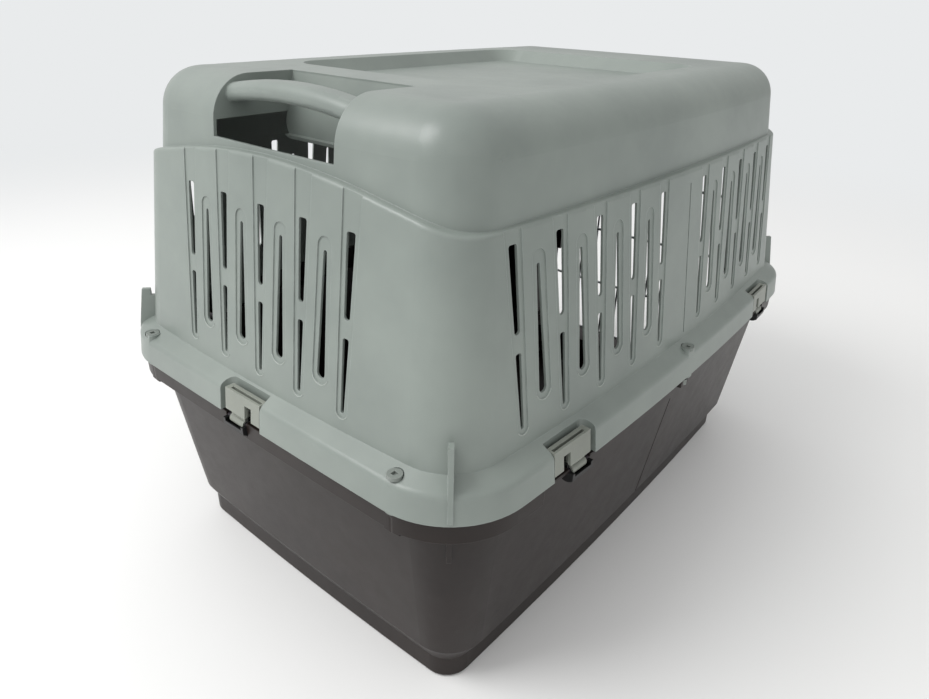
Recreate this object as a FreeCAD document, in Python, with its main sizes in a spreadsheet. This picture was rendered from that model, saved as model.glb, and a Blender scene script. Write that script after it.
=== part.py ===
import FreeCAD, Part
import math
import os
import re

# A pet carrier made of two moulded shells, clip levers, rim bolts and a wire door.
# X runs across the carrier, Y along it with the door at the -Y end, Z up from the floor.

Vector = FreeCAD.Vector
doc = FreeCAD.newDocument("PetCarrier")

# Driving sizes in millimetres and degrees

SIZES = [
    # overall form
    ("half_length", 357.5),
    ("half_width", 253.5),
    ("overall_height", 503.0),
    ("side_bow", 14.0),
    ("end_bow", 3.0),
    ("shell_wall", 3.0),
    # upper shell
    ("rim_low", 225.0),
    ("rim_crest", 249.0),
    ("rim_foot", 257.5),
    ("rim_corner", 78.0),
    ("rim_draft", 3.0),
    ("rim_width", 17.4),
    ("side_rim_width", 18.4),
    ("crest_round", 7.0),
    ("wall_corner", 51.0),
    ("wall_slope", 0.13),
    ("wall_side_bow", 16.8),
    ("wall_end_bow", 8.6),
    ("shoulder_height", 426.0),
    ("shoulder_width", 8.0),
    ("shoulder_arch", 26.0),
    ("shoulder_round", 3.5),
    ("dome_corner", 42.0),
    ("dome_side_bow", 11.0),
    ("dome_end_bow", 6.0),
    ("dome_slope", 0.12),
    ("dome_round", 38.0),
    # tray in the top
    ("tray_half_length", 176.0),
    ("tray_half_width", 138.0),
    ("tray_corner", 34.0),
    ("tray_depth", 13.0),
    ("tray_slope", 0.8),
    # end grip
    ("grip_half_width", 76.0),
    ("grip_setback", 20.5),
    ("grip_depth", 26.0),
    ("grip_thickness", 15.5),
    ("grip_round", 6.0),
    ("grip_crown", 9.0),
    ("grip_end_drop", 7.0),
    ("grip_sill", 455.5),
    ("return_drop", 19.0),
    ("finger_gap", 44.0),
    ("guard_drop", 56.0),
    ("guard_slant", 13.0),
    ("guard_lip", 5.0),
    ("guard_corner", 16.0),
    # vent slots
    ("slot_pitch", 26.0),
    ("side_pitch", 26.6),
    ("side_group_middle", 152.0),
    ("slot_top", 415.0),
    ("slot_split_high", 349.0),
    ("slot_split_low", 334.5),
    ("slot_bottom", 272.5),
    ("single_top", 396.2),
    ("single_bottom", 293.2),
    ("slot_wide", 9.0),
    ("slot_middle", 6.4),
    ("slot_narrow", 3.6),
    ("slot_corner", 2.2),
    ("strip_depth", 0.9),
    ("strip_low", 268.5),
    ("strip_wide", 21.0),
    ("strip_narrow", 12.0),
    ("pocket_top", 406.8),
    ("pocket_bottom", 288.5),
    ("pocket_wide", 18.0),
    ("pocket_narrow", 15.0),
    ("seam_place", -10.0),
    ("seam_width", 2.4),
    ("seam_depth", 0.7),
    # corner fins
    ("fin_top", 287.0),
    ("fin_step", 7.0),
    ("fin_low", 228.0),
    ("fin_inset", 9.5),
    ("fin_proud", 1.2),
    ("fin_root", 34.0),
    ("fin_tip", 8.0),
    ("fin_thickness", 4.2),
    ("fin_turn", 41.2),
    # lower shell
    ("base_half_length", 308.0),
    ("base_half_width", 200.0),
    ("base_corner", 26.0),
    ("base_edge", 3.0),
    ("base_side_bow", 5.5),
    ("base_end_bow", 3.5),
    ("foot_height", 24.0),
    ("bend_height", 42.0),
    ("bend_half_length", 317.0),
    ("bend_half_width", 211.0),
    ("bend_corner", 40.0),
    ("tub_half_length", 338.4),
    ("tub_half_width", 237.7),
    ("tub_corner", 56.0),
    ("flange_top", 222.0),
    ("band_low", 205.0),
    ("side_band_reach", 250.0),
    ("nest_gap", 1.0),
    ("seat_gap", 0.3),
    ("rib_low", 170.0),
    ("rib_thickness", 4.0),
    ("rib_proud", 3.0),
    ("groove_low", 35.0),
    ("groove_high", 180.0),
    ("groove_place", -16.0),
    # rim bolts
    ("bolt_side_offset", 172.0),
    ("bolt_end_inset", 11.5),
    ("bolt_side_inset", 8.0),
    ("boss_radius", 8.5),
    ("boss_top", 255.0),
    ("bolt_head_radius", 6.3),
    ("bolt_head_height", 3.2),
    ("bolt_socket", 4.4),
    ("bolt_socket_depth", 2.2),
    ("bolt_shank_radius", 3.0),
    ("bolt_gap", 0.3),
    ("bolt_ring_gap", 0.8),
    ("nut_low", 212.0),
    ("nut_radius", 5.6),
    ("nut_height", 6.0),
    ("nut_boss_radius", 9.4),
    ("nut_boss_low", 203.0),
    ("side_boss_low", 211.0),
    # clips
    ("clip_length", 50.0),
    ("clip_toe_gap", 0.5),
    ("clip_open_gap", 8.3),
    ("recess_round", 10.0),
    ("end_clip_shift", 7.0),
    ("side_clip_place", 218.0),
    ("clip_axis_inset", 7.0),
    ("clip_axis_height", 218.0),
    ("clip_plate_low", 230.0),
    ("clip_plate_top", 251.0),
    ("clip_plate_thickness", 3.0),
    ("clip_notch_start", 12.0),
    ("clip_end_wall", 3.0),
    ("arm_back", 4.0),
    ("arm_front", 1.5),
    ("clip_notch_width", 9.5),
    ("clip_notch_height", 13.0),
    ("clip_web_depth", 12.0),
    ("clip_web_thickness", 3.0),
    ("clip_leg_low", 241.0),
    ("clip_leg_thickness", 3.5),
    ("clip_groove_width", 2.8),
    ("groove_toe_edge", 2.0),
    ("groove_open_edge", 5.0),
    ("knuckle_radius", 4.5),
    ("clip_pin_radius", 2.5),
    ("pin_fit", 0.1),
    ("hook_radius", 9.5),
    ("cradle_start", 1.0),
    ("cradle_length", 30.0),
    ("cheek_width", 3.0),
    ("cradle_lip", 3.0),
    ("cradle_plate", 3.0),
    ("cradle_top", 224.5),
    ("recess_depth", 15.5),
    ("catch_low", 236.0),
    ("catch_top", 240.4),
    ("catch_reach", 4.5),
    ("catch_half_length", 20.0),
    # door opening and frame
    ("door_half_width", 154.0),
    ("door_sill", 52.0),
    ("door_lintel", 425.0),
    ("frame_wall", 4.0),
    ("frame_back", 308.0),
    ("door_plane", 336.0),
    ("hinge_offset", 141.0),
    ("hinge_radius", 2.25),
    ("door_edge_gap", 5.0),
    ("wire_radius", 1.6),
    ("bar_radius", 2.0),
    ("wire_overlap", 1.0),
    ("wire_count", 12.0),
    ("bar_count", 5.0),
    ("wire_tail", 6.0),
    # door latch
    ("rod_radius", 2.5),
    ("rod_forward", 8.0),
    ("rod_inset", 24.0),
    ("rod_reach", 1.0),
    ("rod_travel", 8.0),
    ("case_width", 34.0),
    ("case_height", 92.0),
    ("case_depth", 12.5),
    ("case_wall", 2.5),
    ("latch_middle", 238.0),
    ("back_thickness", 3.5),
    ("knob_width", 17.0),
    ("knob_height", 16.0),
    ("knob_spacing", 24.0),
    ("knob_proud", 1.5),
    ("knob_slot_gap", 0.6),
    ("latch_screw_radius", 1.6),
    ("latch_screw_head", 3.2),
    ("spring_wire", 0.9),
    ("spring_radius", 3.1),
    ("guide_height", 14.0),
    ("guide_inset", 11.0),
    ("latch_screw_shift", 9.0),
    ("latch_screw_rise", 38.0),
    ("nut_pocket_gap", 0.2),
    ("notch_gap", 0.5),
]


def make_sheet():
    sheet = doc.addObject("Spreadsheet::Sheet", "Sizes")
    for row, (name, value) in enumerate(SIZES, start=1):
        sheet.set("A%d" % row, name)
        sheet.set("B%d" % row, str(value))
        sheet.setAlias("B%d" % row, name)
    doc.recompute()
    return sheet


sheet = make_sheet()


def size(name):
    return float(sheet.get(name))


parts = []


def keep(obj, name):
    obj.Label = name
    parts.append(obj)
    return obj


def add_shape(name, shape, placement=None):
    obj = doc.addObject("Part::Feature", name)
    obj.Shape = shape
    if placement is not None:
        obj.Placement = placement
    return keep(obj, name)


def box(x0, x1, y0, y1, z0, z1):
    return Part.makeBox(x1 - x0, y1 - y0, z1 - z0, Vector(x0, y0, z0))


def post(radius, x, y, z0, z1):
    return Part.makeCylinder(radius, z1 - z0, Vector(x, y, z0))


# Plan outline of the carrier: four bowed sides joined by round corners


def corner_centre(half_y, half_x, corner, side_bow, end_bow):
    side_radius = (half_y ** 2 + side_bow ** 2) / (2 * side_bow)
    end_radius = (half_x ** 2 + end_bow ** 2) / (2 * end_bow)
    side_centre = half_x - side_radius
    end_centre = half_y - end_radius
    # the corner's centre lies at set distances from both side centres
    reach_side = side_radius - corner
    reach_end = end_radius - corner
    span = math.hypot(side_centre, end_centre)
    along = (reach_side ** 2 - reach_end ** 2 + span ** 2) / (2 * span)
    across = math.sqrt(reach_side ** 2 - along ** 2)
    ux = -side_centre / span
    uy = end_centre / span
    cx = side_centre + along * ux - across * uy
    cy = along * uy + across * ux
    if cx < 0 or cy < 0:
        cx = side_centre + along * ux + across * uy
        cy = along * uy - across * ux
    return cx, cy


def plan_wire(half_y, half_x, corner, side_bow, end_bow, z):
    side_radius = (half_y ** 2 + side_bow ** 2) / (2 * side_bow)
    end_radius = (half_x ** 2 + end_bow ** 2) / (2 * end_bow)
    side_centre = half_x - side_radius
    end_centre = half_y - end_radius
    cx, cy = corner_centre(half_y, half_x, corner, side_bow, end_bow)
    side_angle = math.atan2(cy, cx - side_centre)
    end_angle = math.atan2(cy - end_centre, cx)
    middle = (side_angle + end_angle) / 2
    side_point = (side_centre + side_radius * math.cos(side_angle), side_radius * math.sin(side_angle))
    round_point = (cx + corner * math.cos(middle), cy + corner * math.sin(middle))
    end_point = (end_radius * math.cos(end_angle), end_centre + end_radius * math.sin(end_angle))

    def at(point, sx, sy):
        return Vector(point[0] * sx, point[1] * sy, z)

    mid_side = (half_x, 0)
    mid_end = (0, half_y)
    arcs = [
        (at(side_point, 1, -1), at(mid_side, 1, 1), at(side_point, 1, 1)),
        (at(side_point, 1, 1), at(round_point, 1, 1), at(end_point, 1, 1)),
        (at(end_point, 1, 1), at(mid_end, 1, 1), at(end_point, -1, 1)),
        (at(end_point, -1, 1), at(round_point, -1, 1), at(side_point, -1, 1)),
        (at(side_point, -1, 1), at(mid_side, -1, 1), at(side_point, -1, -1)),
        (at(side_point, -1, -1), at(round_point, -1, -1), at(end_point, -1, -1)),
        (at(end_point, -1, -1), at(mid_end, 1, -1), at(end_point, 1, -1)),
        (at(end_point, 1, -1), at(round_point, 1, -1), at(side_point, 1, -1)),
    ]
    return Part.Wire([Part.Arc(*arc).toShape() for arc in arcs])


def plan_loft(levels, inset=0.0):
    # each level holds its height, half length, half width, corner radius and the bow of side and end
    wires = []
    for z, half_y, half_x, corner, side_bow, end_bow in levels:
        wires.append(plan_wire(half_y - inset, half_x - inset, corner - inset, side_bow, end_bow, z))
    return Part.makeLoft(wires, True, True)


def rim_level(z, draft=0.0):
    half_y = size("half_length") - draft
    half_x = size("half_width") - draft
    return z, half_y, half_x, size("rim_corner") - draft, size("side_bow"), size("end_bow")


def level_edges(shape, z, tolerance=0.01):
    found = []
    for edge in shape.Edges:
        box_of = edge.BoundBox
        if abs(box_of.ZMin - z) < tolerance and abs(box_of.ZMax - z) < tolerance:
            found.append(edge)
    return found


def rounded_rectangle(half_x, half_y, corner, z):
    solid = box(-half_x, half_x, -half_y, half_y, z, z + 1)
    upright = [e for e in solid.Edges if e.BoundBox.ZLength > 0.5]
    solid = solid.makeFillet(corner, upright)
    for face in solid.Faces:
        if abs(face.BoundBox.ZMax - z) < 0.001:
            return face.OuterWire
    return None


# Upper shell


def wall_inset(z):
    return size("wall_slope") * (z - size("rim_foot"))


def wall_level(z):
    inset = wall_inset(z)
    half_y = size("half_length") - size("rim_width") - inset
    half_x = size("half_width") - size("side_rim_width") - inset
    return z, half_y, half_x, size("wall_corner") - inset / 2, size("wall_side_bow"), size("wall_end_bow")


def dome_level(z):
    foot = size("shoulder_height")
    inset = wall_inset(foot) + size("shoulder_width") + size("dome_slope") * (z - foot)
    half_y = size("half_length") - size("rim_width") - inset
    half_x = size("half_width") - size("side_rim_width") - inset
    return z, half_y, half_x, size("dome_corner"), size("dome_side_bow"), size("dome_end_bow")


def arch_wire(drop, y):
    # the shoulder is level on the long sides and swells to a crown at the two ends
    half = wall_level(size("shoulder_height"))[2] - size("shoulder_width")
    low = size("shoulder_height") - drop
    far = size("half_width") * 1.2
    steps = 12
    crown = []
    for index in range(steps + 1):
        x = half * (1 - 2 * index / steps)
        rise = size("shoulder_arch") * (1 - (x / half) ** 2) ** 1.2
        crown.append(Vector(x, y, low + rise))
    curve = Part.BSplineCurve()
    level = Vector(-1, 0, 0)
    curve.interpolate(Points=crown, InitialTangent=level, FinalTangent=level)
    points = [
        crown[-1],
        Vector(-far, y, low),
        Vector(-far, y, size("rim_low") - 20),
        Vector(far, y, size("rim_low") - 20),
        Vector(far, y, low),
        crown[0],
    ]
    edges = [Part.LineSegment(a, b).toShape() for a, b in zip(points, points[1:])]
    edges.append(curve.toShape())
    return Part.Wire(edges)


def under_arch(drop):
    reach = size("half_length") * 1.2
    face = Part.Face(arch_wire(drop, -reach))
    return face.extrude(Vector(0, 2 * reach, 0))


def rim_form(inset):
    foot = wall_level(size("rim_foot"))
    crest = size("rim_crest") - inset
    levels = [
        rim_level(size("rim_low") - inset),
        rim_level(crest, size("rim_draft")),
        (size("rim_foot") - inset,) + foot[1:],
    ]
    rim = plan_loft(levels, inset)
    return rim.makeFillet(size("crest_round") - inset, level_edges(rim, crest))


def wall_form(inset, low):
    return plan_loft([wall_level(low), wall_level(size("overall_height"))], inset)


def upward_faces(shape, low):
    found = []
    for face in shape.Faces:
        u0, u1, v0, v1 = face.ParameterRange
        normal = face.normalAt((u0 + u1) / 2, (v0 + v1) / 2)
        if normal.z > 0.9 and face.BoundBox.ZMin > low:
            found.append(face)
    return found


def border_edges(faces):
    # edges that only one of the faces has
    edges = [edge for face in faces for edge in face.Edges]
    return [edge for edge in edges if sum(1 for other in edges if other.isSame(edge)) == 1]


def shoulder_block(inset):
    low = size("rim_foot") - inset
    block = wall_form(inset, low).common(under_arch(inset))
    if inset > 0:
        return block
    faces = upward_faces(block, size("rim_foot") + 1)
    return block.makeFillet(size("shoulder_round"), border_edges(faces))


def dome_form(inset):
    low = size("shoulder_height") - 30
    top = size("overall_height") - inset
    dome = plan_loft([dome_level(low), dome_level(top)], inset)
    return dome.makeFillet(size("dome_round") - inset, level_edges(dome, top))


def upper_form(inset):
    return rim_form(inset).fuse([shoulder_block(inset), dome_form(inset)])


def tray_form(outset):
    wall = size("tray_slope")
    top = size("overall_height")
    deep = size("tray_depth")
    levels = [(top + 2, wall * 2), (top - deep - outset, -wall * deep)]
    wires = []
    for z, grow in levels:
        half_x = size("tray_half_width") + grow + outset
        half_y = size("tray_half_length") + grow + outset
        wires.append(rounded_rectangle(half_x, half_y, size("tray_corner") + grow, z))
    return Part.makeLoft(wires, True, True)


def taper_slot(z_low, z_high, wide_low, wide_high, round_low, round_high, depth):
    # outline in XZ with rounded corners, pushed along +Y
    low = wide_low / 2
    high = wide_high / 2
    near = 1 - math.sqrt(0.5)

    def arc(x0, z0, x1, z1, x2, z2):
        return Part.Arc(Vector(x0, 0, z0), Vector(x1, 0, z1), Vector(x2, 0, z2)).toShape()

    def line(x0, z0, x1, z1):
        return Part.LineSegment(Vector(x0, 0, z0), Vector(x1, 0, z1)).toShape()

    cut_low = round_low * near
    cut_high = round_high * near
    edges = [
        arc(low - round_low, z_low, low - cut_low, z_low + cut_low, low, z_low + round_low),
        line(low, z_low + round_low, high, z_high - round_high),
        arc(high, z_high - round_high, high - cut_high, z_high - cut_high, high - round_high, z_high),
    ]
    if high - round_high > 0.01:
        edges.append(line(high - round_high, z_high, round_high - high, z_high))
    edges.append(arc(round_high - high, z_high, cut_high - high, z_high - cut_high, -high, z_high - round_high))
    edges.append(line(-high, z_high - round_high, -low, z_low + round_low))
    edges.append(arc(-low, z_low + round_low, cut_low - low, z_low + cut_low, round_low - low, z_low))
    if low - round_low > 0.01:
        edges.append(line(round_low - low, z_low, low - round_low, z_low))
    return Part.Face(Part.Wire(edges)).extrude(Vector(0, depth, 0))


def column_slots(depth):
    # openings of a column with one slot and of a column with two
    wide = size("slot_wide")
    middle = size("slot_middle")
    narrow = size("slot_narrow")
    corner = size("slot_corner")
    single = taper_slot(size("single_bottom"), size("single_top"), wide, narrow, wide / 2, narrow / 2, depth)
    high = taper_slot(size("slot_split_high"), size("slot_top"), middle, wide, middle / 2, corner, depth)
    low = taper_slot(size("slot_bottom"), size("slot_split_low"), narrow, middle, narrow / 2, corner, depth)
    return [single], [high, low]


def slot_columns():
    # (column solids, turn about Z, place) for each column of openings
    columns = []
    end_low = size("half_length") - size("rim_width") - 40
    for index in range(-4, 5):
        place = Vector(index * size("slot_pitch"), end_low, 0)
        columns.append((index % 2 == 1, 0, place))
    side_low = size("half_width") - size("side_rim_width") - 46
    for side, turn in ((1, -90), (-1, 90)):
        for middle in (-size("side_group_middle"), size("side_group_middle")):
            for index in range(-4, 5):
                place = Vector(side * side_low, middle + index * size("side_pitch"), 0)
                columns.append((index % 2 == 1, turn, place))
    return columns


def place_at(shape, turn, place):
    moved = shape.copy()
    moved.Placement = FreeCAD.Placement(place, FreeCAD.Rotation(Vector(0, 0, 1), turn))
    return moved


def slot_tools():
    one, two = column_slots(60)
    tools = []
    for single, turn, place in slot_columns():
        for solid in one if single else two:
            tools.append(place_at(solid, turn, place))
    return tools


def strip_tools():
    # shallow strips round the double columns, pockets round the single ones and a line at mid length
    narrow = size("strip_narrow")
    wide = size("strip_wide")
    low_wide = size("pocket_wide")
    high_wide = size("pocket_narrow")
    top = size("overall_height")
    strip = taper_slot(size("strip_low"), top, narrow, wide, narrow / 2, wide / 2, 60)
    pocket = taper_slot(
        size("pocket_bottom"), size("pocket_top"), low_wide, high_wide, low_wide / 2, high_wide / 2, 60
    )
    tools = [place_at(pocket if single else strip, turn, place) for single, turn, place in slot_columns()]
    core = wall_form(size("strip_depth"), size("rim_foot") - 5)
    strips = Part.makeCompound(tools).cut(core)
    middle = size("seam_place")
    half = size("seam_width") / 2
    reach = size("half_width")
    line = box(-reach, reach, middle - half, middle + half, size("rim_foot") + 6, size("shoulder_height") - 12)
    return [strips, line.cut(wall_form(size("seam_depth"), size("rim_foot") - 5))]


def rim_corner_centre():
    level = rim_level(0)
    return corner_centre(*level[1:])


def fin_blank():
    # thin plate standing on the rim corner, drawn in a radius and height plane
    skirt = size("rim_corner") + size("fin_proud")
    tip = size("rim_corner") - size("fin_inset")
    top = size("fin_top")
    shelf = top - size("fin_step")
    half = size("fin_thickness") / 2
    outline = [
        (size("fin_root"), size("fin_low")),
        (skirt, size("fin_low")),
        (skirt - size("rim_draft"), size("rim_crest")),
        (tip, top),
        (tip - size("fin_tip"), top),
        (tip - size("fin_tip"), shelf),
        (size("fin_root"), shelf),
    ]
    points = [Vector(r, -half, z) for r, z in outline]
    face = Part.Face(Part.makePolygon(points + points[:1]))
    return face.extrude(Vector(0, 2 * half, 0))


def at_corners(blank):
    # the blank on all four rim corners, standing in each corner's own plane
    copies = []
    cx, cy = rim_corner_centre()
    turn = math.radians(size("fin_turn"))
    for sx in (1, -1):
        for sy in (1, -1):
            angle = math.degrees(math.atan2(sy * math.cos(turn), sx * math.sin(turn)))
            copies.append(place_at(blank, angle, Vector(sx * cx, sy * cy, 0)))
    return copies


def bolt_places():
    # place of each bolt and whether it stands in a long side
    end = size("half_length") - size("bolt_end_inset")
    side = size("half_width") - size("bolt_side_inset")
    across = size("bolt_side_offset")
    corners = [(x, y, False) for x in (across, -across) for y in (end, -end)]
    return corners + [(side, 0, True), (-side, 0, True)]


def boss_low(on_side):
    return size("side_boss_low") if on_side else size("nut_boss_low")


def clip_frames():
    # name, placement on the rim and whether the toe lies at the +X side of its own frame
    end = size("half_length") - size("clip_axis_inset")
    bow_radius = (size("half_length") ** 2 + size("side_bow") ** 2) / (2 * size("side_bow"))
    along = size("side_clip_place")
    lean = math.degrees(math.asin(along / bow_radius))
    drop = bow_radius - math.sqrt(bow_radius ** 2 - along ** 2)
    side = size("half_width") - drop
    nudge = size("clip_axis_inset")
    frames = [("end", size("end_clip_shift"), end, 0.0, False)]
    for name, y_sign in (("front", -1), ("rear", 1)):
        angle = 90 + y_sign * -lean
        reach = nudge * math.cos(math.radians(lean))
        slip = nudge * math.sin(math.radians(lean))
        frames.append(("left_" + name, -(side - reach), y_sign * (along - slip), angle, True))
        frames.append(("right_" + name, side - reach, y_sign * (along - slip), -angle, False))
    return frames


def clip_placement(frame):
    name, x, y, turn, toe_right = frame
    return FreeCAD.Placement(Vector(x, y, size("clip_axis_height")), FreeCAD.Rotation(Vector(0, 0, 1), turn))


def in_clip_frame(shape, frame):
    moved = shape.copy()
    moved.Placement = clip_placement(frame)
    return moved


def recess_block(frame, outset, z0, z1):
    # space round a lever, wider past its open end and with a round inner corner there
    half = size("clip_length") / 2
    low = -half - size("clip_toe_gap") - outset
    high = half + size("clip_open_gap") + outset
    if frame[4]:
        low, high = -high, -low
    far = low if frame[4] else high
    inner = size("clip_axis_inset") - size("recess_depth") - outset
    base = size("clip_axis_height")
    block = box(low, high, inner, 40, z0 - base, z1 - base)
    edges = []
    for edge in block.Edges:
        box_of = edge.BoundBox
        if box_of.ZLength > 1 and abs(box_of.XMin - far) < 0.1 and box_of.YMax < inner + 0.1:
            edges.append(edge)
    return in_clip_frame(block.makeFillet(size("recess_round") + outset, edges), frame)


def catch_lip():
    half = size("catch_half_length")
    inner = size("clip_axis_inset") - size("recess_depth")
    base = size("clip_axis_height")
    return box(-half, half, inner - 0.5, inner + size("catch_reach"), size("catch_low") - base, size("catch_top") - base)


def door_block(outset, low, high):
    half = size("door_half_width") + outset
    front = -size("half_length") - (0 if outset else 5)
    back = -size("frame_back") + (0 if outset else 5)
    return box(-half, half, front, back, low, high)


def grip_cut():
    half = size("grip_half_width")
    front = size("half_length")
    back = grip_front() - size("grip_depth") - size("finger_gap")
    return box(-half, half, back, front, size("grip_sill"), size("overall_height") + 5)


def grip_front():
    foot = dome_level(size("shoulder_height"))
    return foot[1] - size("grip_setback")


def grip_bar():
    # bar bowed upward between its ends
    half = size("grip_half_width") + size("shell_wall")
    front = grip_front()
    back = front - size("grip_depth")
    high = size("overall_height")
    low = high - size("grip_thickness")

    def bow(z):
        fall = z - size("grip_end_drop")
        return Part.Arc(Vector(-half, back, fall), Vector(0, back, z), Vector(half, back, fall)).toShape()

    def side(x):
        fall = size("grip_end_drop")
        return Part.LineSegment(Vector(x, back, low - fall), Vector(x, back, high - fall)).toShape()

    outline = Part.Wire([bow(low), side(half), bow(high), side(-half)])
    bar = Part.Face(outline).extrude(Vector(0, front - back, 0))
    upper = [e for e in bar.Edges if e.BoundBox.XLength > half and e.BoundBox.ZMax > high - 0.5]
    bar = bar.makeFillet(size("grip_crown"), upper)
    lower = [e for e in bar.Edges if e.BoundBox.XLength > half and e.BoundBox.ZMax < low + 0.5]
    return bar.makeFillet(size("grip_round"), lower)


def grip_returns():
    # side walls of the grip, from the opening's edges in to the guard
    half = size("grip_half_width")
    wall = size("shell_wall")
    back = grip_front() - size("grip_depth") - size("finger_gap") - wall
    low = size("overall_height") - size("grip_thickness") - size("return_drop")
    sides = []
    for x0 in (-half - wall, half):
        sides.append(box(x0, x0 + wall, back, size("half_length"), low, size("overall_height")))
    return sides


def grip_guard():
    # sheet that hangs from the back edge of the finger gap and slants forward
    half = size("grip_half_width") + size("shell_wall") / 2
    wall = size("shell_wall")
    back = grip_front() - size("grip_depth") - size("finger_gap")
    top = size("overall_height") - size("shell_wall") / 2
    low = size("overall_height") - size("guard_drop")
    slant = size("guard_slant")
    lip = size("guard_lip")
    outline = [
        (back - wall, top),
        (back, top),
        (back + slant, low + wall),
        (back + slant + lip, low + wall),
        (back + slant + lip, low),
        (back + slant - wall, low),
    ]
    points = [Vector(-half, y, z) for y, z in outline]
    sheet_solid = Part.Face(Part.makePolygon(points + points[:1])).extrude(Vector(2 * half, 0, 0))
    mask = box(-half, half, back - 20, back + 60, low, top + 20)
    lower = [e for e in mask.Edges if e.BoundBox.YLength > 50 and e.BoundBox.ZMax < low + 1]
    return sheet_solid.common(mask.makeFillet(size("guard_corner"), lower))


def boss_columns():
    # solid columns for the bolts, from the lower shell's bosses up to their round tops
    top = size("boss_top") + 1
    lean = size("rim_draft") * (top - size("rim_low")) / (size("rim_crest") - size("rim_low"))
    outline = plan_loft([rim_level(size("flange_top")), rim_level(size("rim_low")), rim_level(top, lean)])
    columns = []
    for x, y, on_side in bolt_places():
        column = post(size("boss_radius"), x, y, size("flange_top") + size("seat_gap"), size("boss_top"))
        columns.append(column.common(outline))
    return columns


def upper_shell():
    outer = upper_form(0.0)
    outer = outer.cut(strip_tools())
    outer = outer.fuse(at_corners(fin_blank()))
    outer = outer.cut(tray_form(0.0))
    low = size("rim_low")
    liners = [recess_block(frame, size("shell_wall"), low, size("rim_foot")) for frame in clip_frames()]
    linings = outer.common(Part.makeCompound(liners))
    inner = upper_form(size("shell_wall")).cut(tray_form(size("shell_wall")))
    shell = outer.cut(inner)
    shell = shell.fuse([linings] + boss_columns())
    shell = shell.cut([recess_block(frame, 0.0, low - 1, size("rim_foot") + 20) for frame in clip_frames()])
    shell = shell.fuse([in_clip_frame(catch_lip(), frame) for frame in clip_frames()])
    # grip
    dome = dome_form(0.0)
    shell = shell.cut(grip_cut())
    returns = [wall.common(dome) for wall in grip_returns()]
    shell = shell.fuse(returns + [grip_bar(), grip_guard()])
    # door frame
    split = size("rim_low")
    wall = size("frame_wall")
    frame = door_block(wall, split, size("door_lintel") + wall)
    shell = shell.fuse(frame)
    shell = shell.cut(door_block(0.0, split - 5, size("door_lintel")))
    for x, y, radius in door_holes():
        shell = shell.cut(post(radius, x, y, size("door_lintel") - 5, size("door_lintel") + 5 + wall))
    top = size("boss_top")
    holes = []
    for x, y, on_side in bolt_places():
        holes.append(post(size("bolt_shank_radius") + size("bolt_gap"), x, y, size("flange_top"), top + 5))
        seat = top - size("bolt_head_height")
        holes.append(post(size("bolt_head_radius") + size("bolt_ring_gap"), x, y, seat, top + 5))
    shell = shell.cut(holes)
    return shell.cut(slot_tools())


def door_holes():
    plane = -size("door_plane")
    latch_x = size("door_half_width") - size("rod_inset")
    return [
        (-size("hinge_offset"), plane, size("hinge_radius") + size("pin_fit")),
        (latch_x, plane - size("rod_forward"), size("rod_radius") + size("seat_gap")),
    ]


# Lower shell


def tub_levels(low, high):
    bows = (size("base_side_bow"), size("base_end_bow"))
    base = (size("base_half_length"), size("base_half_width"), size("base_corner")) + bows
    bend = (size("bend_half_length"), size("bend_half_width"), size("bend_corner")) + bows
    rim_bows = (size("side_bow"), size("end_bow"))
    tub = (size("tub_half_length"), size("tub_half_width"), size("tub_corner")) + rim_bows
    return [(low,) + base, (size("foot_height"),) + base, (size("bend_height"),) + bend, (high,) + tub]


def tub_form(inset):
    form = plan_loft(tub_levels(inset, size("flange_top") + inset), inset)
    if inset > 0:
        return form
    return form.makeFillet(size("base_edge"), level_edges(form, 0))


def band_levels(low, high):
    if high <= size("rim_low"):
        return [rim_level(low), rim_level(high)]
    return [rim_level(low), rim_level(size("rim_low")), rim_level(high, size("rim_draft"))]


def band_ring(low, high):
    outset = size("shell_wall") + size("nest_gap")
    levels = band_levels(low, high)
    return plan_loft(levels, outset).cut(plan_loft(levels, outset + size("shell_wall")))


def lower_band():
    flange_low = size("flange_top") - size("shell_wall")
    hanging = band_ring(size("band_low"), size("flange_top"))
    clear = size("rim_corner")
    reach = size("side_band_reach")
    for side in (-1, 1):
        x0, x1 = sorted((side * (size("tub_half_width") - clear), side * size("half_width")))
        hanging = hanging.cut(box(x0, x1, -reach, reach, 0, flange_low))
    nested = band_ring(size("flange_top") - 1, size("rim_crest") + 1)
    nested = nested.common(rim_form(size("shell_wall") + size("seat_gap")))
    return [hanging, nested]


def corner_ribs():
    # thin blades down the tub's corners, in line with the fins above
    half = size("rib_thickness") / 2
    blade = box(size("fin_root"), size("rim_corner") + 20, -half, half, size("rib_low"), size("flange_top") - 1)
    top = size("flange_top")
    skin = plan_loft(tub_levels(0.0, top), -size("rib_proud"))
    return [rib.common(skin) for rib in at_corners(blade)]


def cradle_window(frame):
    # way through flange and band for the cradle
    gap = size("notch_gap")
    x0 = size("cradle_start") - gap
    x1 = size("cradle_start") + size("cradle_length") + gap
    if frame[4]:
        x0, x1 = -x1, -x0
    inner = size("clip_axis_inset") - size("recess_depth")
    low = -size("hook_radius") - gap
    return in_clip_frame(box(x0, x1, inner, 40, low, size("rim_crest") - size("clip_axis_height")), frame)


def side_grooves():
    # thin upright line in each long wall near mid length
    half = size("seam_width") / 2
    reach = size("half_width")
    middle = size("groove_place")
    line = box(-reach, reach, middle - half, middle + half, size("groove_low"), size("groove_high"))
    return line.cut(plan_loft(tub_levels(0.0, size("flange_top")), size("seam_depth")))


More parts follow.
